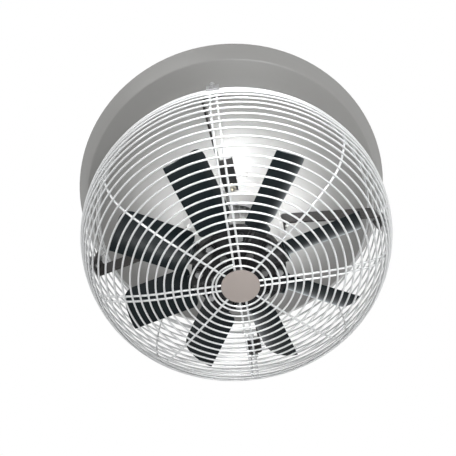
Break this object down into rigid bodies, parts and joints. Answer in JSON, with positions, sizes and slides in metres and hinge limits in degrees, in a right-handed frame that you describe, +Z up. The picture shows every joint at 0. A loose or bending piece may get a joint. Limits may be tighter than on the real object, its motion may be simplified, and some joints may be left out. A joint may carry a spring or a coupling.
{
  "type": "axial ventilation fan",
  "caption": "Ceiling-hung axial air-mixing fan with a wire basket guard, clamped hub with pitched blades, finned motor on flat arms and a wide flared dish above it.",
  "frame": {"origin": "centre of the hanger plate's top face, in the middle of its hanging holes", "axes": "+Z up along the impeller's axis, away from the guard; +X along one double spoke of the guard; the guard faces -Z"},
  "size_m": [0.78, 0.78, 0.3858],
  "materials": {
    "dish_paint": "satin light grey powder coat",
    "plate_paint": "satin warm grey paint",
    "guard_coating": "smooth near-white coating on steel wire",
    "arm_paint": "satin black paint",
    "blade_plastic": "dark grey moulded plastic with a soft sheen",
    "hub_casting": "die cast and coated black",
    "motor_casting": "cast and painted black",
    "zinc": "bright zinc plate",
    "steel": "machined",
    "copper": "enamelled winding wire",
    "gland_brass": "nickel plated",
    "seal_rubber": "matt",
    "lead_sheath": "grey cable sheath"
  },
  "bodies": {
    "housing": {"deflector_dish": "dish_paint", "hanger_bracket": "zinc", "hanger_bolts": "zinc", "hanger_washers": "zinc", "motor_housing": "motor_casting", "rear_shield": "motor_casting", "front_shield": "motor_casting", "shield_screws": "zinc", "stator_core": "steel", "stator_windings": "copper", "rear_bearing": "steel", "front_bearing": "steel", "motor_pedestal": "dish_paint", "pedestal_screws": "zinc", "pedestal_nuts": "zinc", "arm_1": "arm_paint", "arm_2": "arm_paint", "arm_3": "arm_paint", "arm_4": "arm_paint", "arm_bolts": "zinc", "guard_clips": "zinc", "clip_bolts": "zinc", "clip_nuts": "zinc", "junction_box": "motor_casting", "box_screws": "zinc", "junction_lid": "motor_casting", "lid_screws": "zinc", "cable_gland": "gland_brass", "motor_lead": "lead_sheath", "guard_front_spiral": "guard_coating", "guard_side_spiral": "guard_coating", "guard_inner_ring": "guard_coating", "guard_rear_ring": "guard_coating", "double_spokes": "guard_coating", "single_spokes": "guard_coating", "centre_plate": "plate_paint"},
    "impeller": {"shaft": "steel", "rotor_core": "steel", "shaft_key": "steel", "shaft_seal": "seal_rubber", "hub_front": "hub_casting", "hub_rear": "hub_casting", "hub_bush": "steel", "hub_bolts": "zinc", "hub_nuts": "zinc", "bush_bolts": "zinc", "bush_nuts": "zinc", "shaft_washer": "zinc", "shaft_bolt": "zinc", "blade_1": "blade_plastic", "blade_2": "blade_plastic", "blade_3": "blade_plastic", "blade_4": "blade_plastic", "blade_5": "blade_plastic", "blade_6": "blade_plastic", "blade_7": "blade_plastic", "blade_8": "blade_plastic"}
  },
  "joints": [
    {"name": "impeller_spin", "type": "hinge", "parent": "housing", "child": "impeller", "pos_m": [0, 0, -0.322], "axis": [0, 0, 1], "continuous": true}
  ]
}
